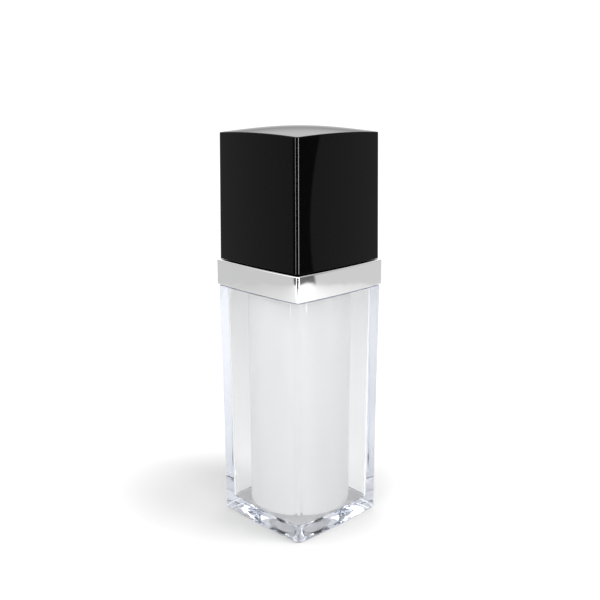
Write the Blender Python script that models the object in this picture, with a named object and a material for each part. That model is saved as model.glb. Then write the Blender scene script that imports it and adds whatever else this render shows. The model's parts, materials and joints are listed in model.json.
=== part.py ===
"""A square airless dispenser for aftershave balm.

A clear square shell holds a round inner bottle. A follower piston rises in the inner bottle as a
dosing pump, worked by a push-down head under a square overcap, draws the balm from it.
Faces of the square point along X and Y, the axis of the bottle is Z, and it stands on Z = 0.
"""

import math

import bmesh
import bpy

MM = 0.001

# ---- Driving dimensions, in metres ----

GAP = 0.3 * MM  # between two pieces that touch
SIDE_STEPS = 8  # straight steps along one bowed side
CORNER_STEPS = 3  # steps round one corner
TURN_STEPS = 36  # steps round a large turned piece
SMALL_TURN_STEPS = 24  # steps round a small turned piece

FACE_BOW = 0.75 * MM  # how far each side of the square bulges

# Outer shell
SHELL_HEIGHT = 83.6 * MM  # foot to the shoulder that the collar stands on
SHELL_WIDTH = 39.4 * MM  # at the shoulder, between the lines that the sides bulge from
SHELL_DRAFT = 0.45 * MM  # by which each side comes in towards the foot
SHELL_WALL = 3.0 * MM
SHELL_FLOOR = 5.0 * MM
SHELL_CORNER = 1.2 * MM
SHELL_FOOT_CHAMFER = 0.5 * MM
SHELL_NECK_HEIGHT = 4.4 * MM
SHELL_VENT_RADIUS = 0.7 * MM
CAVITY_CORNER = 2.4 * MM

# Shoulder collar
COLLAR_OVERHANG = 0.3 * MM  # past the shell on each side
COLLAR_HEIGHT = 8.7 * MM
COLLAR_WALL = 1.2 * MM
COLLAR_PLATE = 1.0 * MM
COLLAR_CORNER = 0.7 * MM
COLLAR_EDGE = 0.4 * MM
TOWER_SETBACK = 1.4 * MM  # inside the bore of the inner bottle
TOWER_WALL = 1.1 * MM
TOWER_HEIGHT = 6.9 * MM

# Inner bottle and follower
BOTTLE_CLEARANCE = 0.5 * MM  # to the shell's faces at the foot
BOTTLE_WALL = 1.1 * MM
BOTTLE_FLOOR = 1.2 * MM
BOTTLE_FLANGE = 1.0 * MM
BOTTLE_VENT_RADIUS = 1.5 * MM
FOLLOWER_HEIGHT = 8.9 * MM
FOLLOWER_LIP = 0.6 * MM  # how far the lips stand out from the skirt
FOLLOWER_WALL = 1.1 * MM
FOLLOWER_WEB = 1.2 * MM
FOLLOWER_DISH = 1.5 * MM  # upper lip down to the web
FOLLOWER_WELL_DEPTH = 5.5 * MM

# Closure of the inner bottle
GASKET_THICKNESS = 0.6 * MM
CARRIER_FLANGE = 0.8 * MM
CARRIER_WALL = 1.1 * MM
CARRIER_DEPTH = 7.0 * MM  # plug below its flange
CARRIER_BOSS_RISE = 3.6 * MM  # boss above the flange
CARRIER_BOSS_WALL = 1.3 * MM
HOUSING_GASKET = 0.8 * MM

# Dosing pump
CHAMBER_RADIUS = 5.4 * MM
CHAMBER_WALL = 1.2 * MM
CHAMBER_FLOOR = 1.2 * MM
HOUSING_FLANGE = 1.0 * MM
INLET_RADIUS = 1.2 * MM
INLET_WALL = 1.4 * MM
INLET_LENGTH = 2.3 * MM
BALL_RADIUS = 1.9 * MM
BALL_LIFT = 0.8 * MM
RETAINER_LIP = 0.8 * MM
STROKE = 5.0 * MM
PISTON_SLIP = 0.6 * MM  # play of the piston on the stem, which opens the outlet
PISTON_HEIGHT = 5.0 * MM
STEM_RADIUS = 2.9 * MM
STEM_WALL = 1.4 * MM
STEM_FLANGE = 1.0 * MM
STEM_FLANGE_CLEARANCE = 1.0 * MM  # to the chamber's wall
ROD_HEAD_CLEARANCE = 1.5 * MM
ROD_HEAD_HEIGHT = 1.6 * MM
ROD_SETBACK = 2.0 * MM  # below the stem's upper end
SPRING_CLEARANCE = 1.5 * MM  # middle of the wire to the chamber's wall
SPRING_WIRE = 0.7 * MM
SPRING_TURNS = 4.5
SPRING_RESERVE = 0.877 * MM  # left between the coils when the head is right down
GUIDE_WALL = 1.2 * MM
GUIDE_PLATE = 1.4 * MM
GUIDE_SLEEVE = 0.8 * MM

# Pump head
HEAD_CLEARANCE = 0.5 * MM  # to the tower's bore
HEAD_WALL = 1.1 * MM
HEAD_HEIGHT = 17.5 * MM
HEAD_CROWN = 1.4 * MM
HEAD_TUCK = 1.1 * MM  # skirt that stays inside the collar's tower
SOCKET_WALL = 1.3 * MM
CORE_PLATE = 1.2 * MM
SOCKET_DEPTH = 3.7 * MM
CHANNEL_RADIUS = 1.0 * MM
SPOUT_TUBE_RADIUS = 2.2 * MM
SPOUT_TUBE_SETBACK = 2.6 * MM  # behind the cover's outside
NOSE_RADIUS = 3.2 * MM
NOSE_CLEARANCE = 0.6 * MM  # to the liner's bore
ORIFICE_RADIUS = 0.6 * MM

# Overcap
CAP_SETBACK = 0.8 * MM  # inside the collar on each side
CAP_DRAFT = 0.5 * MM  # by which each side comes in towards the top
CAP_HEIGHT = 42.4 * MM  # mouth to the corners of the top
CAP_EDGE_CROWN = 0.75 * MM  # rise of a top edge at its middle
CAP_DOME = 2.1 * MM  # rise of the top's centre over its corners
CAP_WALL = 2.0 * MM
CAP_ROOF = 2.6 * MM
CAP_CORNER = 1.0 * MM
CAP_EDGE = 0.5 * MM
LINER_WALL = 1.0 * MM
LINER_FLANGE = 1.2 * MM
LINER_FIN = 1.2 * MM
LINER_TOP_ROOM = 6.4 * MM  # to the cap's roof

# ---- Sizes that follow ----

SHELL_FOOT_WIDTH = SHELL_WIDTH - 2 * SHELL_DRAFT
COLLAR_WIDTH = SHELL_WIDTH + 2 * COLLAR_OVERHANG
CAP_MOUTH_WIDTH = COLLAR_WIDTH - 2 * CAP_SETBACK
CAP_TOP_WIDTH = CAP_MOUTH_WIDTH - 2 * CAP_DRAFT

BOTTLE_RADIUS = SHELL_FOOT_WIDTH / 2 + FACE_BOW - SHELL_WALL - BOTTLE_CLEARANCE
BORE_RADIUS = BOTTLE_RADIUS - BOTTLE_WALL
TOWER_RADIUS = BORE_RADIUS - TOWER_SETBACK
BOTTLE_FOOT_Z = SHELL_FLOOR + GAP
FOLLOWER_Z = BOTTLE_FOOT_Z + BOTTLE_FLOOR + GAP

COLLAR_Z = SHELL_HEIGHT + GAP
COLLAR_TOP_Z = COLLAR_Z + COLLAR_HEIGHT
TOWER_TOP_Z = COLLAR_TOP_Z + TOWER_HEIGHT
COLLAR_INNER_WIDTH = COLLAR_WIDTH - 2 * COLLAR_WALL
SHELL_NECK_WIDTH = COLLAR_INNER_WIDTH - 2 * GAP
SHELL_NECK_Z = SHELL_HEIGHT + SHELL_NECK_HEIGHT
BOTTLE_RIM_Z = SHELL_NECK_Z + GAP + BOTTLE_FLANGE
NECK_GASKET_Z = BOTTLE_RIM_Z + GAP
CARRIER_FLANGE_Z = NECK_GASKET_Z + GASKET_THICKNESS + GAP
CARRIER_TOP_Z = CARRIER_FLANGE_Z + CARRIER_FLANGE
CARRIER_FOOT_Z = CARRIER_FLANGE_Z - CARRIER_DEPTH
CARRIER_BOSS_Z = CARRIER_TOP_Z + CARRIER_BOSS_RISE
CARRIER_PLUG_RADIUS = BORE_RADIUS - GAP
CARRIER_BORE_RADIUS = CHAMBER_RADIUS + CHAMBER_WALL + GAP
CARRIER_BOSS_RADIUS = CARRIER_BORE_RADIUS + CARRIER_BOSS_WALL
FLANGE_RADIUS = SHELL_NECK_WIDTH / 2 - GAP

HOUSING_GASKET_Z = CARRIER_BOSS_Z + GAP
HOUSING_FLANGE_Z = HOUSING_GASKET_Z + HOUSING_GASKET + GAP
HOUSING_TOP_Z = HOUSING_FLANGE_Z + HOUSING_FLANGE
GUIDE_SLEEVE_Z = HOUSING_TOP_Z - GUIDE_SLEEVE
GUIDE_TOP_Z = HOUSING_TOP_Z + GAP + GUIDE_PLATE
GUIDE_RADIUS = CARRIER_BOSS_RADIUS + GAP + GUIDE_WALL
STEM_FLANGE_TOP_Z = GUIDE_SLEEVE_Z - GAP
STEM_FLANGE_Z = STEM_FLANGE_TOP_Z - STEM_FLANGE
PISTON_TOP_Z = STEM_FLANGE_Z - GAP - PISTON_SLIP
PISTON_Z = PISTON_TOP_Z - PISTON_HEIGHT
PISTON_RADIUS = CHAMBER_RADIUS - GAP
ROD_HEAD_TOP_Z = PISTON_Z - GAP
ROD_FOOT_Z = ROD_HEAD_TOP_Z - ROD_HEAD_HEIGHT
ROD_RADIUS = STEM_RADIUS - STEM_WALL - GAP
ROD_HEAD_RADIUS = CHAMBER_RADIUS - ROD_HEAD_CLEARANCE
STEM_FLANGE_RADIUS = CHAMBER_RADIUS - STEM_FLANGE_CLEARANCE
SOCKET_Z = GUIDE_TOP_Z + STROKE + GAP
STEM_TOP_Z = SOCKET_Z + SOCKET_DEPTH

SPRING_RADIUS = CHAMBER_RADIUS - SPRING_CLEARANCE
SPRING_TOP_Z = ROD_FOOT_Z - GAP
SPRING_LENGTH = STROKE + (SPRING_TURNS + 1) * SPRING_WIRE + SPRING_RESERVE
SPRING_Z = SPRING_TOP_Z - SPRING_LENGTH
RETAINER_TOP_Z = SPRING_Z - GAP
RETAINER_LIP_Z = RETAINER_TOP_Z - RETAINER_LIP
RETAINER_BORE = BALL_RADIUS + GAP
BALL_Z = RETAINER_LIP_Z - GAP - BALL_LIFT - BALL_RADIUS
CHAMBER_FLOOR_Z = BALL_Z - math.sqrt(BALL_RADIUS**2 - INLET_RADIUS**2) - GAP
RETAINER_Z = CHAMBER_FLOOR_Z + GAP
HOUSING_FOOT_Z = CHAMBER_FLOOR_Z - CHAMBER_FLOOR - INLET_LENGTH

HEAD_RADIUS = TOWER_RADIUS - TOWER_WALL - HEAD_CLEARANCE
HEAD_FOOT_Z = TOWER_TOP_Z - HEAD_TUCK
HEAD_TOP_Z = HEAD_FOOT_Z + HEAD_HEIGHT
SOCKET_RADIUS = STEM_RADIUS + GAP
CHANNEL_Z = STEM_TOP_Z + GAP + CHANNEL_RADIUS
CORE_TOP_Z = HEAD_TOP_Z - HEAD_WALL - GAP
CORE_PLATE_RADIUS = HEAD_RADIUS - HEAD_WALL - GAP
SPOUT_TUBE_REACH = HEAD_RADIUS - SPOUT_TUBE_SETBACK

CAP_Z = COLLAR_TOP_Z + GAP
CAP_CORNER_Z = CAP_Z + CAP_HEIGHT
CAP_ROOF_Z = CAP_CORNER_Z - CAP_ROOF
LINER_BORE = TOWER_RADIUS + GAP
LINER_RADIUS = LINER_BORE + LINER_WALL
NOSE_REACH = LINER_BORE - NOSE_CLEARANCE
LINER_Z = CAP_Z + GAP
LINER_FLANGE_WIDTH = CAP_MOUTH_WIDTH - 2 * CAP_WALL - 2 * GAP
LINER_ROOF_Z = CAP_ROOF_Z - LINER_TOP_ROOM - LINER_WALL


# ---- Outlines: closed rings of points, counter-clockwise ----


def corner_start(half, bow, radius):
    """Where a bowed side ends and the corner arc begins, so that the two are tangent.

    The side is y = half + bow * (1 - (x / half)^2). The arc's centre lies on the diagonal.
    """
    x = half - radius
    for _ in range(20):
        slope = 2 * bow * x / half**2
        side = half + bow * (1 - (x / half) ** 2)
        x = side - radius * (1 - slope) / math.sqrt(1 + slope**2)
    return x


def bowed_square(width, z, corner, bow=FACE_BOW):
    """A square with parabolic bowed sides and round corners, at height z."""
    half = width / 2
    end = corner_start(half, bow, corner)
    lean = math.atan(2 * bow * end / half**2)
    centre = end - corner * math.sin(lean)
    quarter = []
    for step in range(SIDE_STEPS):
        y = -end + 2 * end * step / SIDE_STEPS
        quarter.append((half + bow * (1 - (y / half) ** 2), y))
    sweep = math.pi / 2 - 2 * lean
    for step in range(CORNER_STEPS):
        angle = lean + sweep * step / CORNER_STEPS
        quarter.append((centre + corner * math.cos(angle), centre + corner * math.sin(angle)))
    ring = []
    for turn in range(4):
        cos, sin = round(math.cos(turn * math.pi / 2)), round(math.sin(turn * math.pi / 2))
        ring += [(x * cos - y * sin, x * sin + y * cos, z) for x, y in quarter]
    return ring


SQUARE_ANGLES = [math.atan2(y, x) for x, y, _ in bowed_square(SHELL_FOOT_WIDTH, 0, SHELL_CORNER)]


def circle(radius, z):
    """A circle whose points match those of a bowed square, one for one."""
    return [(radius * math.cos(a), radius * math.sin(a), z) for a in SQUARE_ANGLES]


# ---- Solids ----


def finish_mesh(name, mesh_data, material, sharp_degrees=35):
    """A new object from a bmesh, with faces outwards and smooth shading between sharp edges."""
    bmesh.ops.recalc_face_normals(mesh_data, faces=mesh_data.faces)
    mesh = bpy.data.meshes.new(name)
    mesh_data.to_mesh(mesh)
    mesh_data.free()
    mesh.shade_smooth()
    mesh.set_sharp_from_angle(angle=math.radians(sharp_degrees))
    mesh.materials.append(material)
    piece = bpy.data.objects.new(name, mesh)
    bpy.context.scene.collection.objects.link(piece)
    return piece


def loft(name, rings, material, closed=False):
    """A skin over rings of equal point count. The ends are capped, or joined if it is closed."""
    mesh_data = bmesh.new()
    loops = [[mesh_data.verts.new(point) for point in ring] for ring in rings]
    pairs = list(zip(loops, loops[1:]))
    if closed:
        pairs.append((loops[-1], loops[0]))
    for first, second in pairs:
        for i in range(len(first)):
            mesh_data.faces.new((first[i - 1], first[i], second[i], second[i - 1]))
    if not closed:
        mesh_data.faces.new(loops[0])
        mesh_data.faces.new(loops[-1])
    return finish_mesh(name, mesh_data, material)


def turned(name, profile, material, steps=TURN_STEPS, closed=True):
    """A profile of (radius, z) points spun about Z. An open profile starts and ends on the axis."""
    mesh_data = bmesh.new()
    verts = [mesh_data.verts.new((radius, 0, z)) for radius, z in profile]
    ends = verts[1:] + verts[:1] if closed else verts[1:]
    edges = [mesh_data.edges.new(pair) for pair in zip(verts, ends)]
    bmesh.ops.spin(
        mesh_data,
        geom=verts + edges,
        cent=(0, 0, 0),
        axis=(0, 0, 1),
        angle=math.tau,
        steps=steps,
        use_merge=True,
    )
    bmesh.ops.remove_doubles(mesh_data, verts=mesh_data.verts, dist=1e-6)
    return finish_mesh(name, mesh_data, material)


def as_cutter(piece):
    piece.hide_render = True
    piece.display_type = "WIRE"
    return piece


def boolean(piece, other, operation):
    modifier = piece.modifiers.new(f"{operation.lower()}_{other.name}", "BOOLEAN")
    modifier.operation = operation
    modifier.solver = "EXACT"
    modifier.object = as_cutter(other)


def rod_along_y(name, radius, start, end, z, material, steps=SMALL_TURN_STEPS):
    """A plain cylinder from y = start to y = end, used to join or to cut."""
    mesh_data = bmesh.new()
    bmesh.ops.create_cone(
        mesh_data,
        cap_ends=True,
        segments=steps,
        radius1=radius,
        radius2=radius,
        depth=abs(end - start),
    )
    piece = finish_mesh(name, mesh_data, material)
    piece.location = (0, (start + end) / 2, z)
    piece.rotation_euler = (math.pi / 2, 0, 0)
    return piece


def joint_empty(name, z):
    """An empty on the bottle's axis, which a moving group hangs from."""
    empty = bpy.data.objects.new(name, None)
    empty.location = (0, 0, z)
    bpy.context.scene.collection.objects.link(empty)
    return empty


def hang(pieces, empty):
    """Parents pieces to an empty and leaves them where they are."""
    bpy.context.view_layer.update()
    for piece in pieces:
        piece.parent = empty
        piece.matrix_parent_inverse = empty.matrix_world.inverted()


# ---- Materials ----


def plastic(name, colour, roughness, metallic=0.0, alpha=1.0):
    material = bpy.data.materials.new(name)
    material.use_nodes = True
    shader = material.node_tree.nodes["Principled BSDF"]
    shader.inputs["Base Color"].default_value = (*colour, 1)
    shader.inputs["Roughness"].default_value = roughness
    shader.inputs["Metallic"].default_value = metallic
    shader.inputs["Alpha"].default_value = alpha
    material.diffuse_color = (*colour, alpha)
    return material


# ---- Fixed pieces ----


def make_outer_shell(clear):
    """Square shell with a thick floor, a stepped neck for the collar and a small vent."""
    cavity_foot = SHELL_FOOT_WIDTH - 2 * SHELL_WALL
    cavity_top = SHELL_WIDTH - 2 * SHELL_WALL
    chamfer = SHELL_FOOT_CHAMFER
    rings = [
        circle(SHELL_VENT_RADIUS, 0),
        bowed_square(SHELL_FOOT_WIDTH - 2 * chamfer, 0, SHELL_CORNER),
        bowed_square(SHELL_FOOT_WIDTH, chamfer, SHELL_CORNER),
        bowed_square(SHELL_WIDTH, SHELL_HEIGHT, SHELL_CORNER),
        bowed_square(SHELL_NECK_WIDTH, SHELL_HEIGHT, SHELL_CORNER),
        bowed_square(SHELL_NECK_WIDTH, SHELL_NECK_Z, SHELL_CORNER),
        bowed_square(cavity_top, SHELL_NECK_Z, CAVITY_CORNER),
        bowed_square(cavity_foot, SHELL_FLOOR, CAVITY_CORNER),
        circle(SHELL_VENT_RADIUS, SHELL_FLOOR),
    ]
    return loft("outer_shell", rings, clear, closed=True)


def make_inner_bottle(frosted):
    """Round bottle with a vented floor. Its square flange rests on the shell's neck."""
    flange_z = SHELL_NECK_Z + GAP
    flange_width = 2 * FLANGE_RADIUS
    rings = [
        circle(BOTTLE_VENT_RADIUS, BOTTLE_FOOT_Z),
        circle(BOTTLE_RADIUS, BOTTLE_FOOT_Z),
        circle(BOTTLE_RADIUS, flange_z),
        bowed_square(flange_width, flange_z, SHELL_CORNER),
        bowed_square(flange_width, BOTTLE_RIM_Z, SHELL_CORNER),
        circle(BORE_RADIUS, BOTTLE_RIM_Z),
        circle(BORE_RADIUS, BOTTLE_FOOT_Z + BOTTLE_FLOOR),
        circle(BOTTLE_VENT_RADIUS, BOTTLE_FOOT_Z + BOTTLE_FLOOR),
    ]
    return loft("inner_bottle", rings, frosted, closed=True)


def make_shoulder_collar(chrome):
    """Square band over the shell's neck, a plate, and a round tower that the overcap grips."""
    edge = COLLAR_EDGE
    plate_z = COLLAR_TOP_Z - COLLAR_PLATE
    bore = TOWER_RADIUS - TOWER_WALL
    rings = [
        bowed_square(COLLAR_INNER_WIDTH, COLLAR_Z, COLLAR_CORNER),
        bowed_square(COLLAR_WIDTH, COLLAR_Z, COLLAR_CORNER),
        bowed_square(COLLAR_WIDTH, COLLAR_TOP_Z - edge, COLLAR_CORNER),
        bowed_square(COLLAR_WIDTH - 2 * edge, COLLAR_TOP_Z, COLLAR_CORNER),
        circle(TOWER_RADIUS, COLLAR_TOP_Z),
        circle(TOWER_RADIUS, TOWER_TOP_Z),
        circle(bore, TOWER_TOP_Z),
        circle(bore, plate_z),
        bowed_square(COLLAR_INNER_WIDTH, plate_z, COLLAR_CORNER),
    ]
    return loft("shoulder_collar", rings, chrome, closed=True)


def make_neck_gasket(white):
    inner, outer = BORE_RADIUS + GAP, FLANGE_RADIUS - GAP
    top = NECK_GASKET_Z + GASKET_THICKNESS
    profile = [(inner, NECK_GASKET_Z), (outer, NECK_GASKET_Z), (outer, top), (inner, top)]
    return turned("neck_gasket", profile, white)


def make_pump_carrier(white):
    """Plug for the inner bottle's mouth: flange, skirt, floor, and a boss that holds the pump."""
    skirt = CARRIER_PLUG_RADIUS - CARRIER_WALL
    floor_z = CARRIER_FOOT_Z + CARRIER_WALL
    profile = [
        (CARRIER_BORE_RADIUS, CARRIER_FOOT_Z),
        (CARRIER_PLUG_RADIUS, CARRIER_FOOT_Z),
        (CARRIER_PLUG_RADIUS, CARRIER_FLANGE_Z),
        (FLANGE_RADIUS, CARRIER_FLANGE_Z),
        (FLANGE_RADIUS, CARRIER_TOP_Z),
        (skirt, CARRIER_TOP_Z),
        (skirt, floor_z),
        (CARRIER_BOSS_RADIUS, floor_z),
        (CARRIER_BOSS_RADIUS, CARRIER_BOSS_Z),
        (CARRIER_BORE_RADIUS, CARRIER_BOSS_Z),
    ]
    return turned("pump_carrier", profile, white)


def make_housing_gasket(white):
    top = HOUSING_GASKET_Z + HOUSING_GASKET
    inner, outer = CARRIER_BORE_RADIUS, CARRIER_BOSS_RADIUS
    profile = [(inner, HOUSING_GASKET_Z), (outer, HOUSING_GASKET_Z), (outer, top), (inner, top)]
    return turned("housing_gasket", profile, white, steps=SMALL_TURN_STEPS)


def make_pump_housing(white):
    """Dosing chamber with a flange at the top and an inlet tube at the foot."""
    outer = CHAMBER_RADIUS + CHAMBER_WALL
    tube = INLET_RADIUS + INLET_WALL
    under_z = CHAMBER_FLOOR_Z - CHAMBER_FLOOR
    profile = [
        (INLET_RADIUS, HOUSING_FOOT_Z),
        (tube, HOUSING_FOOT_Z),
        (tube, under_z),
        (outer - CHAMBER_FLOOR, under_z),
        (outer, CHAMBER_FLOOR_Z),
        (outer, HOUSING_FLANGE_Z),
        (CARRIER_BOSS_RADIUS, HOUSING_FLANGE_Z),
        (CARRIER_BOSS_RADIUS, HOUSING_TOP_Z),
        (CHAMBER_RADIUS, HOUSING_TOP_Z),
        (CHAMBER_RADIUS, CHAMBER_FLOOR_Z),
        (INLET_RADIUS, CHAMBER_FLOOR_Z),
    ]
    return turned("pump_housing", profile, white, steps=SMALL_TURN_STEPS)


def make_stem_guide(white):
    """Snap ring over the carrier's boss, with a sleeve that stops the plunger."""
    bore = STEM_RADIUS + GAP
    sleeve = CHAMBER_RADIUS - GAP
    skirt = CARRIER_BOSS_RADIUS + GAP
    skirt_z = CARRIER_TOP_Z + GAP
    plate_z = HOUSING_TOP_Z + GAP
    profile = [
        (bore, GUIDE_SLEEVE_Z),
        (sleeve, GUIDE_SLEEVE_Z),
        (sleeve, plate_z),
        (skirt, plate_z),
        (skirt, skirt_z),
        (GUIDE_RADIUS, skirt_z),
        (GUIDE_RADIUS, GUIDE_TOP_Z),
        (bore, GUIDE_TOP_Z),
    ]
    return turned("stem_guide", profile, white, steps=SMALL_TURN_STEPS)


def make_ball_retainer(white):
    """Cage over the inlet ball. The spring stands on it."""
    outer = CHAMBER_RADIUS - GAP
    profile = [
        (RETAINER_BORE, RETAINER_Z),
        (outer, RETAINER_Z),
        (outer, RETAINER_TOP_Z),
        (INLET_RADIUS, RETAINER_TOP_Z),
        (INLET_RADIUS, RETAINER_LIP_Z),
        (RETAINER_BORE, RETAINER_LIP_Z),
    ]
    return turned("ball_retainer", profile, white, steps=SMALL_TURN_STEPS)


def make_return_spring(steel):
    """Helix of round wire from the retainer to the head of the rod."""
    rise = SPRING_TOP_Z - SPRING_Z - SPRING_WIRE
    points = round(14 * SPRING_TURNS)
    curve = bpy.data.curves.new("return_spring", "CURVE")
    curve.dimensions = "3D"
    curve.bevel_depth = SPRING_WIRE / 2
    curve.bevel_resolution = 1
    curve.use_fill_caps = True
    spline = curve.splines.new("POLY")
    spline.points.add(points)
    for index, point in enumerate(spline.points):
        share = index / points
        angle = math.tau * SPRING_TURNS * share
        x, y = SPRING_RADIUS * math.cos(angle), SPRING_RADIUS * math.sin(angle)
        point.co = (x, y, SPRING_Z + SPRING_WIRE / 2 + rise * share, 1)
    curve.materials.append(steel)
    piece = bpy.data.objects.new("return_spring", curve)
    bpy.context.scene.collection.objects.link(piece)
    return piece


# ---- Moving pieces ----


def make_inlet_ball(steel):
    mesh_data = bmesh.new()
    bmesh.ops.create_uvsphere(mesh_data, u_segments=16, v_segments=10, radius=BALL_RADIUS)
    piece = finish_mesh("inlet_ball", mesh_data, steel, sharp_degrees=60)
    piece.location = (0, 0, BALL_Z)
    return piece


def make_follower_piston(white):
    """Disc with a central well for the pump's foot, and a skirt with a lip at each end."""
    lip = BORE_RADIUS - GAP
    skirt = lip - FOLLOWER_LIP
    inner = skirt - FOLLOWER_WALL
    well = CHAMBER_RADIUS + CHAMBER_WALL + GAP
    top = FOLLOWER_Z + FOLLOWER_HEIGHT
    web_top = top - FOLLOWER_DISH
    well_floor = web_top - FOLLOWER_WELL_DEPTH
    taper = 2 * FOLLOWER_LIP
    profile = [
        (0, well_floor - FOLLOWER_WEB),
        (well + FOLLOWER_WEB, well_floor - FOLLOWER_WEB),
        (well + FOLLOWER_WEB, web_top - FOLLOWER_WEB),
        (inner, web_top - FOLLOWER_WEB),
        (inner + FOLLOWER_LIP, FOLLOWER_Z),
        (lip, FOLLOWER_Z),
        (skirt, FOLLOWER_Z + taper),
        (skirt, top - taper),
        (lip, top),
        (inner + FOLLOWER_LIP, top),
        (inner, web_top),
        (well, web_top),
        (well, well_floor),
        (0, well_floor),
    ]
    return turned("follower_piston", profile, white, closed=False)


def make_pump_piston(white):
    """Sleeve on the stem with a sealing lip at each end."""
    bore = STEM_RADIUS + GAP
    waist = PISTON_RADIUS - FOLLOWER_LIP
    quarter = PISTON_HEIGHT / 4
    profile = [
        (bore, PISTON_Z),
        (PISTON_RADIUS, PISTON_Z),
        (waist, PISTON_Z + quarter),
        (waist, PISTON_TOP_Z - quarter),
        (PISTON_RADIUS, PISTON_TOP_Z),
        (bore, PISTON_TOP_Z),
    ]
    return turned("pump_piston", profile, white, steps=SMALL_TURN_STEPS)


def make_pump_stem(white):
    inner = STEM_RADIUS - STEM_WALL
    profile = [
        (inner, PISTON_Z),
        (STEM_RADIUS, PISTON_Z),
        (STEM_RADIUS, STEM_FLANGE_Z),
        (STEM_FLANGE_RADIUS, STEM_FLANGE_Z),
        (STEM_FLANGE_RADIUS, STEM_FLANGE_TOP_Z),
        (STEM_RADIUS, STEM_FLANGE_TOP_Z),
        (STEM_RADIUS, STEM_TOP_Z),
        (inner, STEM_TOP_Z),
    ]
    return turned("pump_stem", profile, white, steps=SMALL_TURN_STEPS)


def make_piston_rod(white):
    """Pin inside the stem. Its conical head closes the piston's bore from below."""
    top = STEM_TOP_Z - ROD_SETBACK
    profile = [
        (0, ROD_FOOT_Z),
        (ROD_HEAD_RADIUS, ROD_FOOT_Z),
        (ROD_HEAD_RADIUS, ROD_FOOT_Z + ROD_HEAD_HEIGHT / 2),
        (ROD_RADIUS, ROD_HEAD_TOP_Z),
        (ROD_RADIUS, top),
        (0, top),
    ]
    return turned("piston_rod", profile, white, steps=SMALL_TURN_STEPS, closed=False)


def make_actuator_core(white):
    """Socket on the stem's end, a plate under the cover, and a tube along -Y to the nozzle."""
    outer = SOCKET_RADIUS + SOCKET_WALL
    profile = [
        (0, STEM_TOP_Z + GAP),
        (SOCKET_RADIUS, STEM_TOP_Z + GAP),
        (SOCKET_RADIUS, SOCKET_Z),
        (outer, SOCKET_Z),
        (outer, CORE_TOP_Z - CORE_PLATE),
        (CORE_PLATE_RADIUS, CORE_TOP_Z - CORE_PLATE),
        (CORE_PLATE_RADIUS, CORE_TOP_Z),
        (0, CORE_TOP_Z),
    ]
    core = turned("actuator_core", profile, white, steps=SMALL_TURN_STEPS, closed=False)
    reach = -SPOUT_TUBE_REACH
    root = -(SOCKET_RADIUS + SOCKET_WALL / 2)
    tube = rod_along_y("core_tube", SPOUT_TUBE_RADIUS, root, reach, CHANNEL_Z, white)
    boolean(core, tube, "UNION")
    channel = rod_along_y("core_channel", CHANNEL_RADIUS, 0, reach - MM, CHANNEL_Z, white)
    boolean(core, channel, "DIFFERENCE")
    drop_mesh = bmesh.new()
    bmesh.ops.create_cone(
        drop_mesh,
        cap_ends=True,
        segments=SMALL_TURN_STEPS,
        radius1=CHANNEL_RADIUS,
        radius2=CHANNEL_RADIUS,
        depth=4 * CHANNEL_RADIUS,
    )
    drop = finish_mesh("core_drop", drop_mesh, white)
    drop.location = (0, 0, CHANNEL_Z - 2 * CHANNEL_RADIUS)
    boolean(core, drop, "DIFFERENCE")
    return core


def make_actuator_shell(chrome):
    """Cover of the head: a skirt inside the collar's tower, a crowned top and a nose."""
    inner = HEAD_RADIUS - HEAD_WALL
    edge = HEAD_WALL
    crown_radius = HEAD_RADIUS - edge
    profile = [(0, HEAD_TOP_Z + HEAD_CROWN - HEAD_WALL), (inner, HEAD_TOP_Z - HEAD_WALL)]
    profile += [(inner, HEAD_FOOT_Z), (HEAD_RADIUS, HEAD_FOOT_Z), (HEAD_RADIUS, HEAD_TOP_Z - edge)]
    profile += [(HEAD_RADIUS - edge / 3, HEAD_TOP_Z - edge / 3)]
    for step in range(4):
        share = 1 - step / 4
        rise = HEAD_CROWN * (1 - share**2)
        profile.append((crown_radius * share, HEAD_TOP_Z + rise))
    profile.append((0, HEAD_TOP_Z + HEAD_CROWN))
    shell = turned("actuator_shell", profile, chrome, closed=False)
    nose_root = -(inner + HEAD_WALL / 2)
    nose = rod_along_y("nose", NOSE_RADIUS, nose_root, -NOSE_REACH, CHANNEL_Z, chrome)
    boolean(shell, nose, "UNION")
    bore_radius = SPOUT_TUBE_RADIUS + GAP
    bore = rod_along_y("nose_bore", bore_radius, -HEAD_RADIUS / 2, -NOSE_REACH - MM, CHANNEL_Z, chrome)
    boolean(shell, bore, "DIFFERENCE")
    return shell


def make_nozzle_insert(white):
    """Round nozzle in the nose, in line with the core's tube."""
    length = NOSE_REACH - SPOUT_TUBE_REACH - 2 * GAP
    tip = SPOUT_TUBE_RADIUS / 2
    profile = [
        (CHANNEL_RADIUS, 0),
        (SPOUT_TUBE_RADIUS, 0),
        (SPOUT_TUBE_RADIUS, length - tip),
        (SPOUT_TUBE_RADIUS - tip / 2, length),
        (ORIFICE_RADIUS, length),
        (ORIFICE_RADIUS, length - tip),
        (CHANNEL_RADIUS, length - tip),
    ]
    nozzle = turned("nozzle_insert", profile, white, steps=SMALL_TURN_STEPS)
    nozzle.location = (0, -SPOUT_TUBE_REACH - GAP, CHANNEL_Z)
    nozzle.rotation_euler = (math.pi / 2, 0, 0)
    return nozzle


def domed(ring, width, lift, edge_crown):
    """Gives a ring the height of the cap's domed top.

    The height is lift at the corners of a square of this width. It rises by edge_crown at the
    middle of a side and by CAP_DOME at the centre, as a parabola each way.
    """
    half = width / 2
    rise = CAP_DOME
    middle = edge_crown
    raised = []
    for x, y, _ in ring:
        u, v = 1 - (x / half) ** 2, 1 - (y / half) ** 2
        raised.append((x, y, lift + middle * (u + v) + (rise - 2 * middle) * u * v))
    return raised


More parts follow.
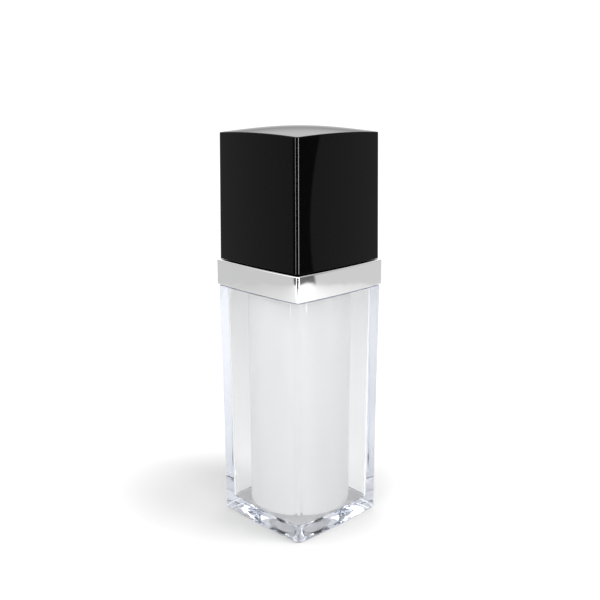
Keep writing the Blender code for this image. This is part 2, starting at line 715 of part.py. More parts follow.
def make_overcap_shell(black):
    """Square cap with a slight draft, crowned top edges and a domed top."""
    edge = CAP_EDGE
    inner_mouth = CAP_MOUTH_WIDTH - 2 * CAP_WALL
    inner_top = CAP_TOP_WIDTH - 2 * CAP_WALL
    top_width = CAP_TOP_WIDTH - 2 * edge
    side_top = bowed_square(CAP_TOP_WIDTH, 0, CAP_CORNER)
    rings = [
        bowed_square(inner_mouth, CAP_Z, CAP_CORNER),
        bowed_square(CAP_MOUTH_WIDTH, CAP_Z, CAP_CORNER),
        domed(side_top, CAP_TOP_WIDTH, CAP_CORNER_Z - edge, CAP_EDGE_CROWN),
        domed(bowed_square(top_width, 0, CAP_CORNER), CAP_TOP_WIDTH, CAP_CORNER_Z, CAP_EDGE_CROWN),
    ]
    for share in (0.8, 0.6, 0.4, 0.2):
        ring = bowed_square(top_width * share, 0, CAP_CORNER * share, FACE_BOW * share)
        rings.append(domed(ring, CAP_TOP_WIDTH, CAP_CORNER_Z, CAP_EDGE_CROWN))
    inside = [bowed_square(inner_top, CAP_ROOF_Z, CAP_CORNER)]
    cap = loft("overcap_shell", list(reversed(rings)) + inside, black)
    return cap


def make_overcap_liner(black):
    """Round bush that grips the tower, with a square flange in the mouth and four corner fins."""
    roof_top = LINER_ROOF_Z + LINER_WALL
    rings = [
        circle(LINER_BORE / 3, LINER_ROOF_Z),
        circle(LINER_BORE, LINER_ROOF_Z),
        circle(LINER_BORE, LINER_Z),
        bowed_square(LINER_FLANGE_WIDTH, LINER_Z, CAP_CORNER),
        bowed_square(LINER_FLANGE_WIDTH, LINER_Z + LINER_FLANGE, CAP_CORNER),
        circle(LINER_RADIUS, LINER_Z + LINER_FLANGE),
        circle(LINER_RADIUS, roof_top),
        circle(LINER_BORE / 3, roof_top),
    ]
    liner = loft("overcap_liner", rings, black)
    root = LINER_BORE + LINER_WALL / 2
    reach = LINER_FLANGE_WIDTH / math.sqrt(2) - 2 * CAP_CORNER
    foot = LINER_Z + LINER_FLANGE / 2
    top = LINER_ROOF_Z - LINER_FLANGE
    for index in range(4):
        angle = math.pi / 4 + index * math.pi / 2
        fin_mesh = bmesh.new()
        bmesh.ops.create_cube(fin_mesh, size=1)
        bmesh.ops.scale(fin_mesh, vec=(reach - root, LINER_FIN, top - foot), verts=fin_mesh.verts)
        fin = finish_mesh(f"liner_fin_{index}", fin_mesh, black)
        middle = (reach + root) / 2
        fin.location = (middle * math.cos(angle), middle * math.sin(angle), (top + foot) / 2)
        fin.rotation_euler = (0, 0, angle)
        boolean(liner, fin, "UNION")
    return liner


def main():
    for leftover in list(bpy.data.objects):
        bpy.data.objects.remove(leftover)

    clear = plastic("clear_acrylic", (0.93, 0.95, 0.98), 0.03, alpha=0.3)
    frosted = plastic("frosted_polypropylene", (0.88, 0.88, 0.89), 0.4, alpha=0.6)
    white = plastic("natural_polypropylene", (0.86, 0.86, 0.86), 0.4)
    follower_white = plastic("follower_polyethylene", (0.82, 0.82, 0.84), 0.45)
    black = plastic("gloss_black", (0.012, 0.012, 0.013), 0.05)
    satin_black = plastic("liner_polypropylene", (0.02, 0.02, 0.022), 0.4)
    chrome = plastic("chrome_plating", (0.78, 0.78, 0.79), 0.06, metallic=1.0)
    head_chrome = plastic("head_plating", (0.78, 0.78, 0.79), 0.06, metallic=1.0)
    steel = plastic("spring_steel", (0.6, 0.6, 0.6), 0.25, metallic=1.0)
    rubber = plastic("gasket_elastomer", (0.75, 0.75, 0.75), 0.6)

    make_outer_shell(clear)
    make_inner_bottle(frosted)
    make_shoulder_collar(chrome)
    make_neck_gasket(rubber)
    make_pump_carrier(white)
    make_housing_gasket(rubber)
    make_pump_housing(white)
    make_stem_guide(white)
    make_ball_retainer(white)
    make_return_spring(steel)

    hang([make_follower_piston(follower_white)], joint_empty("follower_rise", FOLLOWER_Z))
    hang([make_inlet_ball(steel)], joint_empty("inlet_ball_lift", BALL_Z))

    piston_slip = joint_empty("piston_slip", PISTON_Z)
    hang([make_pump_piston(white)], piston_slip)
    head_swivel = joint_empty("head_swivel", SOCKET_Z)
    cover = make_actuator_shell(head_chrome)
    hang([make_actuator_core(white), cover, make_nozzle_insert(white)], head_swivel)
    plunger = [make_pump_stem(white), make_piston_rod(white), piston_slip, head_swivel]
    hang(plunger, joint_empty("pump_press", ROD_FOOT_Z))

    cap = [make_overcap_shell(black), make_overcap_liner(satin_black)]
    hang(cap, joint_empty("cap_lift", CAP_Z))


main()
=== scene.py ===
"""The finished look of a square airless dispenser for aftershave balm.

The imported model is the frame: every piece here is made at the size and place of its solid there.
"""

import json
import math

import bmesh
import bpy
import numpy as np
from mathutils import Matrix, Vector


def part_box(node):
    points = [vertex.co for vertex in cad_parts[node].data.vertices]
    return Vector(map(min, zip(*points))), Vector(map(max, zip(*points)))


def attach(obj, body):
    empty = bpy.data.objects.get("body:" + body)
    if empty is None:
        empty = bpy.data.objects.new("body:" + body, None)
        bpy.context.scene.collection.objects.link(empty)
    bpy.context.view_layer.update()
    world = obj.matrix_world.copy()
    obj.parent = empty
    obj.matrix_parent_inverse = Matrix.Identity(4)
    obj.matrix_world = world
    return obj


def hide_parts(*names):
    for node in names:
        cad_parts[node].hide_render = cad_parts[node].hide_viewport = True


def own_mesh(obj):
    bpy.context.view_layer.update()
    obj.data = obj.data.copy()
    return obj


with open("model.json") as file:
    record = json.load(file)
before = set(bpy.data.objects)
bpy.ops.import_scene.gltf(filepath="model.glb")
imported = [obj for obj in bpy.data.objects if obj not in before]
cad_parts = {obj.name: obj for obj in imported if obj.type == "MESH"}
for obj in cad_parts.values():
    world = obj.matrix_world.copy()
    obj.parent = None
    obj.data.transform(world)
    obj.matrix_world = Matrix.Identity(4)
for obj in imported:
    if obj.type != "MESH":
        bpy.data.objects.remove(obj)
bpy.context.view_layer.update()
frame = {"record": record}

MM = 0.001

# ---- Sizes read from the frame, and the small ones that only the surface needs ----

FACE_BOW = 0.75 * MM  # how far the middle of a square face stands out
GAP = 0.3 * MM  # between parts that touch
SIDE_POINTS = 30  # along one bowed side
CORNER_POINTS = 11  # round one vertical edge
TURN_POINTS = 144  # round a turned piece
FILLET_STEPS = 6  # quads over one fillet
CORNER_ROWS = FILLET_STEPS + 3  # rows that one rounded corner of a profile becomes
SUPPORT = 0.02 * MM  # a row this close to a fillet keeps the flat beside it flat
LEAST_CORNER = 0.15 * MM  # of a square outline
CRISP = 40  # degrees past which an edge isn't shaded smooth
SAME_PLACE = 1e-7  # metres: points this close are one
NO_LENGTH = 1e-8  # metres: an edge this short is dropped


def low(node):
    """A node's lowest corner."""
    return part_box(node)[0]


def high(node):
    """A node's highest corner."""
    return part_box(node)[1]


SHELL_FOOT = low("outer_shell").z
SHELL_NECK_TOP = high("outer_shell").z
SHELL_TOP_REACH = high("outer_shell").x - FACE_BOW
COLLAR_FOOT = low("shoulder_collar").z
COLLAR_REACH = high("shoulder_collar").x - FACE_BOW
TOWER_TOP = high("shoulder_collar").z
CAP_FOOT = low("overcap_shell").z
CAP_TOP = high("overcap_shell").z
CAP_FOOT_REACH = high("overcap_shell").x - FACE_BOW
BOTTLE_FOOT = low("inner_bottle").z
BOTTLE_RIM = high("inner_bottle").z
BORE = high("follower_piston").x + GAP
TOWER = 14.0 * MM  # radius of the collar's round tower
CHAMBER = high("ball_retainer").x + GAP
STEM = 2.9 * MM  # radius of the pump's stem
CHANNEL_Z = (low("nozzle_insert").z + high("nozzle_insert").z) / 2


# ---- Shapes ----


def rounded(rows, closed):
    """Rows of (reach, height, fillet, *rest) made into a path with each corner turned as an arc.

    At a corner the arc starts and ends at fillet / tan(half angle) along the two sides, which is
    never more than 0.45 of a side, and its centre lies on the line that halves the corner. Two
    rows just outside the arc keep the sides beside it flat. The rest of a row is carried along,
    and a last column is added: how far the point's reach lies from the corner's own.
    """
    rows = np.asarray(rows, float)
    made = []
    for k, row in enumerate(rows):
        ends = not closed and k in (0, len(rows) - 1)
        if ends or row[2] <= 0:
            made.append(np.append(row, 0.0)[None])
            continue
        corner = row[:2]
        to_last, to_next = rows[k - 1][:2] - corner, rows[(k + 1) % len(rows)][:2] - corner
        reach_last, reach_next = np.hypot(*to_last), np.hypot(*to_next)
        a, b = to_last / reach_last, to_next / reach_next
        half = 0.5 * math.acos(np.clip(a @ b, -1, 1))
        longest = 0.45 * min(reach_last, reach_next)
        along = min(row[2] / math.tan(half), longest)
        middle = (a + b) / np.hypot(*(a + b))
        centre = corner + middle * along / math.cos(half)
        start, end = corner + a * along - centre, corner + b * along - centre
        sweep = math.pi - 2 * half
        share = np.linspace(0, 1, FILLET_STEPS + 1)[:, None]
        arc = (np.sin((1 - share) * sweep) * start + np.sin(share * sweep) * end) / math.sin(sweep)
        before, after = corner + a * (along + SUPPORT), corner + b * (along + SUPPORT)
        path = np.vstack([before, centre + arc, after])
        block = np.tile(np.append(row, 0.0), (len(path), 1))
        block[:, :2] = path
        block[:, -1] = path[:, 0] - corner[0]
        made.append(block)
    return np.vstack(made)


def square_outline(reach, corner):
    """Outlines of squares with bowed sides and round corners, as arrays (row, point).

    A side is reach + bow * (1 - (t / reach)^2) over t. It ends where an arc of radius corner,
    centred on the diagonal, takes over with the same tangent, found by repeated substitution.
    Near a pole the bow and the corner shrink with the reach.
    """
    reach, corner = np.broadcast_arrays(*np.atleast_1d(reach, corner))
    reach = np.maximum(reach, 1e-6)[:, None]
    bow = np.minimum(FACE_BOW, 0.06 * reach)
    corner = np.clip(corner[:, None], 0.02 * reach, 0.9 * reach)
    end = reach - corner
    for _ in range(30):
        slope = 2 * bow * end / reach**2
        side = reach + bow * (1 - (end / reach) ** 2)
        end = side - corner * (1 - slope) / np.sqrt(1 + slope**2)
    lean = np.arctan(2 * bow * end / reach**2)
    centre = end - corner * np.sin(lean)
    t = end * np.linspace(-1, 1, SIDE_POINTS)
    turn = lean + (math.pi / 2 - 2 * lean) * np.linspace(0, 1, CORNER_POINTS + 2)[1:-1]
    x = np.hstack([reach + bow * (1 - (t / reach) ** 2), centre + corner * np.cos(turn)])
    y = np.hstack([t, centre + corner * np.sin(turn)])
    return np.hstack([x, -y, -x, y]), np.hstack([y, x, -y, -x])


REFERENCE_X, REFERENCE_Y = square_outline(SHELL_TOP_REACH, 1.2 * MM)
OUTLINE_ANGLES = np.arctan2(REFERENCE_Y, REFERENCE_X)
TURN_ANGLES = np.linspace(0, math.tau, TURN_POINTS, endpoint=False)[None]


def squared(rows, closed=False):
    """A surface over rows of (reach, height, fillet, corner, roundness), as a grid of points.

    Each row is an outline at its height. Roundness 0 is the bowed square and 1 the circle of the
    same reach, with the two mixed in a straight line between them. A fillet that takes a row
    inwards takes as much off the radius of its corners.
    """
    path = rounded(rows, closed)
    reach, height, _, corner, roundness, shift = path.T
    x, y = square_outline(reach, np.maximum(corner + shift, LEAST_CORNER))
    share = roundness[:, None]
    x = x * (1 - share) + share * reach[:, None] * np.cos(OUTLINE_ANGLES)
    y = y * (1 - share) + share * reach[:, None] * np.sin(OUTLINE_ANGLES)
    return np.stack([x, y, np.broadcast_to(height[:, None], x.shape)], axis=-1)


def turned(rows, closed, angles=TURN_ANGLES):
    """Rows of (radius, height, fillet) turned about Z, as a grid of points. Four angles make a
    square prism."""
    path = rounded(rows, closed)
    radius, height = path[:, :1], path[:, 1:2]
    grid = [radius * np.cos(angles), radius * np.sin(angles), height + 0 * angles]
    return np.stack(grid, axis=-1)


def swept(centre, radius, sides=12):
    """A round tube of the given radius along a path, closed to a point at both ends.

    Its section is a circle over two directions: away from Z, and across both that and the path.
    """
    along = np.gradient(centre, axis=0)
    along /= np.linalg.norm(along, axis=1, keepdims=True)
    outward = centre * [1, 1, 0]
    outward /= np.linalg.norm(outward, axis=1, keepdims=True)
    across = np.cross(along, outward)
    across /= np.linalg.norm(across, axis=1, keepdims=True)
    outward = np.cross(across, along)
    turn = np.linspace(0, math.tau, sides, endpoint=False)[None, :, None]
    ring = np.cos(turn) * outward[:, None] + np.sin(turn) * across[:, None]
    tube = centre[:, None] + radius * ring
    first, last = np.repeat(centre[:1, None], sides, 1), np.repeat(centre[-1:, None], sides, 1)
    return np.concatenate([first, tube, last])


def along_y(rows, height):
    """Rows of (radius, reach, fillet) turned about a line that runs along -Y at a height."""
    grid = turned(rows, closed=rows[0][0] > 0)
    return np.stack([grid[..., 0], -grid[..., 2], height + grid[..., 1]], axis=-1)


def rod(radius, start, end, fillet=0):
    """Rows of a plain rod, with the edge of its far end rounded."""
    return [(0, start, 0), (radius, start, 0), (radius, end, fillet), (0, end, 0)]


# ---- Pieces ----

BODIES = frame["record"]["behaviour"]["bodies"]


def grid_faces(grid, closed):
    """Quads between neighbouring rows and columns. Columns join round, and closed rows do too."""
    rows, columns = grid.shape[:2]
    index = np.arange(rows * columns).reshape(rows, columns)
    if closed:
        index = np.vstack([index, index[:1]])
    below, above = index[:-1], index[1:]
    quads = [below, np.roll(below, -1, 1), np.roll(above, -1, 1), above]
    return np.stack(quads, axis=-1).reshape(-1, 4)


def weld(mesh, facing=False):
    """Merges the points that meet at a pole and drops what that leaves without an area. With
    facing, the faces of a closed skin are also turned outwards."""
    work = bmesh.new()
    work.from_mesh(mesh)
    bmesh.ops.remove_doubles(work, verts=work.verts, dist=SAME_PLACE)
    bmesh.ops.dissolve_degenerate(work, edges=work.edges, dist=NO_LENGTH)
    if facing:
        bmesh.ops.recalc_face_normals(work, faces=work.faces)
    work.to_mesh(mesh)
    work.free()


def linked(name, data):
    """A new object in the scene."""
    made = bpy.data.objects.new(name, data)
    bpy.context.scene.collection.objects.link(made)
    return made


def grid_object(name, grid, facing=False):
    """An object of one grid whose rows are open."""
    mesh = bpy.data.meshes.new(name)
    mesh.from_pydata(grid.reshape(-1, 3).tolist(), [], grid_faces(grid, False).tolist())
    weld(mesh, facing)
    return linked(name, mesh)


def piece(name, node, grids, closed, finish, sharp=None):
    """An object from one or more grids, which rides on its node's body and stands for the node.

    A grid is turned over where the sum of centre times area over its faces is below zero, since
    they then point inwards. Edges of more than sharp degrees stay crisp.
    """
    points, faces, count = [], [], 0
    for grid in grids:
        flat = grid.reshape(-1, 3)
        made = grid_faces(grid, closed)
        corners = flat[made]
        areas = 0.5 * np.cross(corners[:, 2] - corners[:, 0], corners[:, 3] - corners[:, 1])
        if (corners.mean(axis=1) * areas).sum() < 0:
            made = made[:, ::-1]
        points.append(flat)
        faces.append(made + count)
        count += len(flat)
    mesh = bpy.data.meshes.new(name)
    mesh.from_pydata(np.vstack(points).tolist(), [], np.vstack(faces).tolist())
    mesh.validate()
    weld(mesh)
    mesh.shade_smooth()
    if sharp:
        mesh.set_sharp_from_angle(angle=math.radians(sharp))
    mesh.materials.append(finish)
    made = linked(name, mesh)
    body = next(b for b, nodes in BODIES.items() if node in nodes)
    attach(made, body)
    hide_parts(node)
    return made


def ring_piece(name, node, rows, finish):
    """A turned piece whose profile is a loop."""
    return piece(name, node, [turned(rows, True)], True, finish, sharp=CRISP)


def joined_piece(name, node, grids, finish, cutters):
    """A piece of closed grids joined into one skin, less the cutters, which are grids too."""
    made = piece(name, node, grids[:1], False, finish)
    steps = [(grid, "UNION") for grid in grids[1:]] + [(grid, "DIFFERENCE") for grid in cutters]
    helpers = []
    for grid, operation in steps:
        helper = grid_object("helper", grid, facing=True)
        helpers.append(helper)
        modifier = made.modifiers.new("joined", "BOOLEAN")
        modifier.operation, modifier.solver, modifier.object = operation, "EXACT", helper
    bpy.context.view_layer.update()
    joined = made.evaluated_get(bpy.context.evaluated_depsgraph_get())
    shaped = bpy.data.meshes.new_from_object(joined)
    made.modifiers.clear()
    made.data = shaped
    shaped.name = name
    shaped.shade_smooth()
    shaped.set_sharp_from_angle(angle=math.radians(30))
    for helper in helpers:
        bpy.data.objects.remove(helper)
    return made


# ---- Shader graphs ----


class Link:
    """One output of a node. Arithmetic on it adds Math nodes."""

    def __init__(self, graph, socket):
        self.graph = graph
        self.socket = socket

    def math(self, operation, *others):
        return self.graph.add("ShaderNodeMath", {"operation": operation}, self, *others)

    def __add__(self, other):
        return self.math("ADD", other)

    def __sub__(self, other):
        return self.math("SUBTRACT", other)

    def __rsub__(self, other):
        return self.graph.add("ShaderNodeMath", {"operation": "SUBTRACT"}, other, self)

    def __mul__(self, other):
        return self.math("MULTIPLY", other)

    def __truediv__(self, other):
        return self.math("DIVIDE", other)

    def above(self, edge, softness):
        """0 well below the edge and 1 well above it, with a smooth step between."""
        settings = {"interpolation_type": "SMOOTHSTEP"}
        start, end = edge - softness / 2, edge + softness / 2
        return self.graph.add("ShaderNodeMapRange", settings, self, start, end, 0.0, 1.0)

    __radd__ = __add__
    __rmul__ = __mul__


class Graph:
    """The nodes of one material."""

    def __init__(self, owner):
        owner.use_nodes = True
        self.tree = owner.node_tree
        self.tree.nodes.clear()

    def add(self, kind, settings=None, *values, out=0, **named):
        """Adds a node, sets its settings, then gives its sockets values or links, in their order
        or by name. None leaves a socket as it is."""
        node = self.tree.nodes.new(kind)
        for key, value in (settings or {}).items():
            setattr(node, key, value)
        pairs = list(zip(node.inputs, values))
        pairs += [(node.inputs[key.replace("_", " ")], value) for key, value in named.items()]
        for socket, value in pairs:
            if isinstance(value, Link):
                self.tree.links.new(value.socket, socket)
            elif value is not None:
                socket.default_value = value
        return Link(self, node.outputs[out]) if node.outputs else node

    def place(self):
        """Object coordinates, in metres."""
        return self.add("ShaderNodeTexCoord", out="Object")

    def axes(self):
        """The object's x, y and z."""
        node = self.add("ShaderNodeSeparateXYZ", None, self.place()).socket.node
        return [Link(self, node.outputs[k]) for k in range(3)]

    def stretched(self, x, y, z):
        """Object coordinates times a factor each, so that a pattern is finer along a larger one."""
        return self.add("ShaderNodeMapping", None, self.place(), Scale=(x, y, z))

    def noise(self, where, scale, detail):
        """Soft noise with about scale patches to the metre."""
        return self.add("ShaderNodeTexNoise", None, Vector=where, Scale=scale, Detail=detail)

    def mix(self, share, first, second):
        """A colour between two. Five sockets for other kinds of value come before them."""
        other_kinds = [None] * 5
        colours = {"data_type": "RGBA"}
        return self.add("ShaderNodeMix", colours, share, *other_kinds, first, second, out=2)

    def bump(self, height, strength, distance):
        """A normal for a relief, distance metres deep where its height runs from 0 to 1."""
        return self.add("ShaderNodeBump", None, Strength=strength, Distance=distance, Height=height)


def grey(level, tint=(1, 1, 1)):
    return (*(level * t for t in tint), 1.0)


def surface(name, paint, outputs=None, **constants):
    """A material with one Principled shader. paint(graph) gives the inputs that vary.

    outputs(graph, shader), where there is one, gives what the surface shows and, after that,
    what fills the solid.
    """
    material = bpy.data.materials.new(name)
    graph = Graph(material)
    shader = graph.add("ShaderNodeBsdfPrincipled", None, **constants, **paint(graph))
    ends = outputs(graph, shader) if outputs else [shader]
    graph.add("ShaderNodeOutputMaterial", None, *ends)
    return material


def make_black():
    """Polished black: faint sink waves left by the mould, hazy patches and a few dust specks."""

    def paint(graph):
        haze = graph.noise(graph.place(), 60.0, 3.0)
        specks = graph.noise(graph.place(), 2600.0, 0.0).above(0.79, 0.03)
        waves = graph.noise(graph.stretched(1, 1, 0.4), 45.0, 1.0)
        return {
            "Base_Color": graph.mix(specks * 0.1, grey(0.0004), grey(0.03)),
            "Roughness": haze * 0.03 + 0.02 + specks * 0.04,
            "Normal": graph.bump(waves, 0.2, 0.00002),
        }

    return surface("gloss_black", paint, IOR=1.2)


def make_chrome(name, base, wave):
    """Plated plastic: a mirror over slightly wavy moulding, with hairline polish marks."""

    def paint(graph):
        waves = graph.noise(graph.place(), 130.0, 1.0)
        lines = graph.noise(graph.stretched(0.15, 0.15, 6.0), 1500.0, 2.0)
        return {
            "Base_Color": graph.mix(waves, grey(base, (1, 1, 1.005)), grey(base * 0.985)),
            "Roughness": lines * 0.03 + 0.03,
            "Normal": graph.bump(waves, wave, 0.00006),
        }

    return surface(name, paint, Metallic=1.0)


def make_acrylic():
    """Clear PMMA: polished, faintly rippled faces, and a light blue cast through thick sections."""

    def paint(graph):
        ripple = graph.noise(graph.stretched(1, 1, 0.25), 70.0, 1.0)
        haze = graph.noise(graph.place(), 300.0, 3.0).above(0.62, 0.2)
        return {
            "Roughness": haze * 0.015,
            "Normal": graph.bump(ripple, 0.12, 0.00002),
        }

    def fill(graph, clear):
        cast = (0.42, 0.52, 0.75, 1.0)
        return [clear, graph.add("ShaderNodeVolumeAbsorption", None, Color=cast, Density=8.0)]

    constants = {"IOR": 1.491, "Transmission_Weight": 1.0, "Base_Color": grey(0.92)}
    return surface("clear_acrylic", paint, fill, **constants)


def make_frosted():
    """Natural polypropylene: milky, satin, with faint flow lines. Part of the light that falls on
    it comes through scattered, and a smaller part shows what lies close behind the wall."""

    def paint(graph):
        flow = graph.noise(graph.stretched(1, 1, 0.12), 160.0, 3.0)
        grain = graph.noise(graph.place(), 5200.0, 1.0)
        return {
            "Base_Color": graph.mix(flow, grey(0.965), grey(0.985, (1, 1, 1.002))),
            "Roughness": flow * 0.1 + 0.28,
            "Normal": graph.bump(grain, 0.2, 0.00001),
        }

    def scatter(graph, satin):
        glow = graph.add("ShaderNodeBsdfTranslucent", None, grey(0.985))
        return [graph.add("ShaderNodeMixShader", None, 0.15, satin, glow)]

    return surface("frosted_polypropylene", paint, scatter, IOR=1.49, Transmission_Weight=0.2)


def make_moulded(name, base, rough, tint=(1, 1, 1)):
    """A moulded plastic or rubber: satin, faintly cloudy, with a fine grain."""

    def paint(graph):
        cloud = graph.noise(graph.place(), 140.0, 3.0)
        grain = graph.noise(graph.place(), 4200.0, 2.0)
        return {
            "Base_Color": graph.mix(cloud, grey(base * 0.97, tint), grey(base, tint)),
            "Roughness": cloud * 0.1 + rough,
            "Normal": graph.bump(grain, 0.2, 0.00001),
        }

    return surface(name, paint, IOR=1.49)


def make_steel():
    """Drawn stainless wire and ground ball: fine marks that run round."""

    def paint(graph):
        marks = graph.noise(graph.stretched(1, 1, 8), 900.0, 2.0)
        return {
            "Base_Color": graph.mix(marks, grey(0.5), grey(0.64)),
            "Roughness": marks * 0.18 + 0.12,
        }

    return surface("spring_steel", paint, Metallic=1.0)


BLACK = make_black()
CHROME = make_chrome("chrome_plating", 0.72, 0.4)
HEAD_CHROME = make_chrome("head_plating", 0.74, 0.25)
ACRYLIC = make_acrylic()
FROSTED = make_frosted()
NATURAL = make_moulded("natural_polypropylene", 0.68, 0.34)
MILKY = make_moulded("follower_polyethylene", 0.7, 0.38, (0.99, 0.99, 1.0))
LINER_BLACK = make_moulded("liner_polypropylene", 0.016, 0.38)
STEEL = make_steel()
RUBBER = make_moulded("gasket_elastomer", 0.58, 0.55)


# ---- Shell, inner bottle and collar ----


def make_outer_shell():
    """Square shell: vented floor, polished foot, drafted faces, neck under the collar, cavity."""
    wall, floor, corner, cavity_corner = 3.0 * MM, 5.0 * MM, 1.2 * MM, 2.4 * MM
    draft, vent = 0.45 * MM, 0.7 * MM
    foot_reach = SHELL_TOP_REACH - draft
    neck = COLLAR_REACH - 1.2 * MM - GAP
    shoulder = COLLAR_FOOT - GAP
    rows = [
        (vent, SHELL_FOOT, 0, 0.2 * MM, 1),
        (foot_reach - 4 * MM, SHELL_FOOT, 0, corner, 0),
        (foot_reach, SHELL_FOOT, 0.55 * MM, corner, 0),
        (SHELL_TOP_REACH, shoulder, 0.2 * MM, corner, 0),
        (neck, shoulder, 0.15 * MM, corner, 0),
        (neck, SHELL_NECK_TOP, 0.3 * MM, corner, 0),
        (SHELL_TOP_REACH - wall, SHELL_NECK_TOP, 0.3 * MM, cavity_corner, 0),
        (foot_reach - wall, SHELL_FOOT + floor, 0.7 * MM, cavity_corner, 0),
        (foot_reach - wall - 4 * MM, SHELL_FOOT + floor, 0, cavity_corner, 0),
        (vent, SHELL_FOOT + floor, 0, 0.2 * MM, 1),
    ]
    return piece("clear_square_shell", "outer_shell", [squared(rows, True)], True, ACRYLIC)


def make_inner_bottle():
    """Round bottle: vented floor, straight wall, and a square flange on the shell's neck."""
    outer, vent, floor = BORE + 1.1 * MM, 1.5 * MM, 1.2 * MM
    flange = COLLAR_REACH - 1.2 * MM - 2 * GAP
    under = SHELL_NECK_TOP + GAP
    rows = [
        (vent, BOTTLE_FOOT, 0.2 * MM, 0.2 * MM, 1),
        (outer, BOTTLE_FOOT, 0.8 * MM, 1.2 * MM, 1),
        (outer, under, 0.3 * MM, 1.2 * MM, 1),
        (flange, under, 0.2 * MM, 1.2 * MM, 0),
        (flange, BOTTLE_RIM, 0.2 * MM, 1.2 * MM, 0),
        (BORE, BOTTLE_RIM, 0.3 * MM, 1.2 * MM, 1),
        (BORE, BOTTLE_FOOT + floor, 0.6 * MM, 1.2 * MM, 1),
        (vent, BOTTLE_FOOT + floor, 0.2 * MM, 0.2 * MM, 1),
    ]
    return piece("frosted_inner_bottle", "inner_bottle", [squared(rows, True)], True, FROSTED)


def make_collar():
    """Square plated band, its plate, and the round tower with a snap bead for the overcap."""
    wall, plate, corner = 1.2 * MM, 1.0 * MM, 0.7 * MM
    tower, bore = TOWER, TOWER - 1.1 * MM
    top = CAP_FOOT - GAP
    bead = 0.18 * MM
    rows = [
        (COLLAR_REACH - wall, COLLAR_FOOT, 0.12 * MM, corner, 0),
        (COLLAR_REACH, COLLAR_FOOT, 0.3 * MM, corner, 0),
        (COLLAR_REACH, top, 0.5 * MM, corner, 0),
        (tower, top, 0.25 * MM, corner, 1),
        (tower, top + 3.0 * MM, 0.3 * MM, corner, 1),
        (tower + bead, top + 3.5 * MM, 0.3 * MM, corner, 1),
        (tower, top + 4.0 * MM, 0.3 * MM, corner, 1),
        (tower, TOWER_TOP, 0.4 * MM, corner, 1),
        (bore, TOWER_TOP, 0.4 * MM, corner, 1),
        (bore, top - plate, 0.2 * MM, corner, 1),
        (COLLAR_REACH - wall, top - plate, 0.3 * MM, corner, 0),
    ]
    return piece("chrome_shoulder_collar", "shoulder_collar", [squared(rows, True)], True, CHROME)


# ---- The overcap ----


def dome(x, y, reach, edge_crown, rise):
    """Height of the cap's top over its corners: a parabola each way, which comes to edge_crown
    in the middle of an edge and to rise at the centre."""
    u, v = 1 - (x / reach) ** 2, 1 - (y / reach) ** 2
    return edge_crown * (u + v) + (rise - 2 * edge_crown) * u * v


def make_overcap():
    """Square cap. Its grid runs from the middle of the top, over the edge and down the sides, and
    then up inside. On the top the height is the dome's, and the sides take it up by degrees."""
    draft, pole, top_rows = 0.5 * MM, 0.002, 24
    top_reach = CAP_FOOT_REACH - draft
    rise, edge_crown, wall, corner = 2.1 * MM, 0.75 * MM, 2.0 * MM, 1.0 * MM
    corner_top = CAP_TOP - rise
    roof = corner_top - 2.6 * MM
    shares = np.linspace(pole, 0.97, top_rows)
    rows = [(share * top_reach, 0.0, 0, corner * share, 0) for share in shares]
    rows += [
        (top_reach, 0.0, 0.7 * MM, corner, 0),
        (CAP_FOOT_REACH, CAP_FOOT - corner_top, 0.2 * MM, corner, 0),
        (CAP_FOOT_REACH - wall, CAP_FOOT - corner_top, 0.2 * MM, corner, 0),
        (top_reach - wall, roof - corner_top, 0.6 * MM, corner, 0),
        (pole * top_reach, roof - corner_top, 0, corner * pole, 0),
    ]
    grid = squared(rows)
    x, y, depth = grid[..., 0], grid[..., 1], grid[..., 2]
    outside = np.arange(len(grid)) < top_rows + 2 * CORNER_ROWS
    share = np.clip(1 + depth / (corner_top - CAP_FOOT), 0, 1) * outside[:, None]
    grid[..., 2] = corner_top + depth + share * dome(x, y, top_reach, edge_crown, rise)
    return piece("gloss_black_overcap", "overcap_shell", [grid], False, BLACK)


